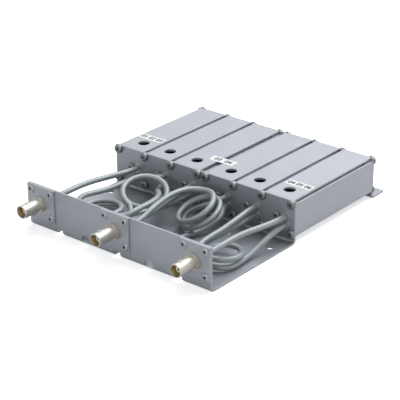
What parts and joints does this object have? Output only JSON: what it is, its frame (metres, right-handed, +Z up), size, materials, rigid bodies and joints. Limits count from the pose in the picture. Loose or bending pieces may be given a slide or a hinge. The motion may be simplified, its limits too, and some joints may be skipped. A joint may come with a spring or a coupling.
{
  "type": "duplexer",
  "caption": "Flat cavity duplexer: a folded tray with bayonet coaxial jacks and coiled jumpers, closing cavity extrusions with trimmer holes, and a folded rear mounting foot.",
  "frame": {"origin": "centre of the outline seen from above, in the plane of the underside", "axes": "+X along the front panel to the right, +Y from the jacks back to the foot, +Z up"},
  "size_m": [0.1662, 0.2248, 0.0331],
  "materials": {
    "sheet": "satin light-grey finish",
    "extrusion": "satin light-grey finish",
    "nickel_plate": "bright plated",
    "insulator": "smooth",
    "gold_brass": "bright",
    "screw_steel": "bright zinc",
    "rivet_aluminium": "satin",
    "copper": "plain",
    "trimmer_brass": "dull, darkened",
    "ceramic": "glazed",
    "support_plastic": "plain",
    "braid": "tinned braid",
    "label": "printed film"
  },
  "bodies": {
    "housing": {"cable_ferrules": "nickel_plate", "cable_pins": "gold_brass", "cavity_extrusion_left": "extrusion", "cavity_extrusion_right": "extrusion", "cavity_labels": "label", "chassis_tray": "sheet", "coax_cavity_1_to_cavity_2": "braid", "coax_cavity_2_to_cavity_3": "braid", "coax_cavity_4_to_cavity_5": "braid", "coax_cavity_5_to_cavity_6": "braid", "coax_centre_jack_to_cavity_3": "braid", "coax_centre_jack_to_cavity_4": "braid", "coax_left_jack_to_cavity_1": "braid", "coax_right_jack_to_cavity_6": "braid", "coupling_strips": "copper", "front_case_screws": "screw_steel", "front_centre_screws": "screw_steel", "jack_body_centre": "nickel_plate", "jack_body_left": "nickel_plate", "jack_body_right": "nickel_plate", "jack_contact_centre": "gold_brass", "jack_contact_left": "gold_brass", "jack_contact_right": "gold_brass", "jack_insulator_centre": "insulator", "jack_insulator_left": "insulator", "jack_insulator_right": "insulator", "jack_nuts": "nickel_plate", "jack_plate_centre": "sheet", "jack_plate_left": "sheet", "jack_plate_right": "sheet", "plate_rivets": "rivet_aluminium", "rear_case_screws": "screw_steel", "rear_end_plate": "sheet", "rear_rod_screws": "screw_steel", "resonator_rod_1": "copper", "resonator_rod_2": "copper", "resonator_rod_3": "copper", "resonator_rod_4": "copper", "resonator_rod_5": "copper", "resonator_rod_6": "copper", "rod_supports": "support_plastic", "trimmer_stator_1": "ceramic", "trimmer_stator_2": "ceramic", "trimmer_stator_3": "ceramic", "trimmer_stator_4": "ceramic", "trimmer_stator_5": "ceramic", "trimmer_stator_6": "ceramic"},
    "trimmer_1": {"trimmer_rotor_1": "trimmer_brass"},
    "trimmer_2": {"trimmer_rotor_2": "trimmer_brass"},
    "trimmer_3": {"trimmer_rotor_3": "trimmer_brass"},
    "trimmer_4": {"trimmer_rotor_4": "trimmer_brass"},
    "trimmer_5": {"trimmer_rotor_5": "trimmer_brass"},
    "trimmer_6": {"trimmer_rotor_6": "trimmer_brass"}
  },
  "joints": [
    {"name": "trimmer_turn_1", "type": "hinge", "parent": "housing", "child": "trimmer_1", "pos_m": [-0.06747, 0.01335, 0.0275], "axis": [0, 0, 1], "continuous": true},
    {"name": "trimmer_turn_2", "type": "hinge", "parent": "housing", "child": "trimmer_2", "pos_m": [-0.0416, 0.01335, 0.0275], "axis": [0, 0, 1], "continuous": true},
    {"name": "trimmer_turn_3", "type": "hinge", "parent": "housing", "child": "trimmer_3", "pos_m": [-0.01573, 0.01335, 0.0275], "axis": [0, 0, 1], "continuous": true},
    {"name": "trimmer_turn_4", "type": "hinge", "parent": "housing", "child": "trimmer_4", "pos_m": [0.01573, 0.01335, 0.0275], "axis": [0, 0, 1], "continuous": true},
    {"name": "trimmer_turn_5", "type": "hinge", "parent": "housing", "child": "trimmer_5", "pos_m": [0.0416, 0.01335, 0.0275], "axis": [0, 0, 1], "continuous": true},
    {"name": "trimmer_turn_6", "type": "hinge", "parent": "housing", "child": "trimmer_6", "pos_m": [0.06747, 0.01335, 0.0275], "axis": [0, 0, 1], "continuous": true}
  ]
}
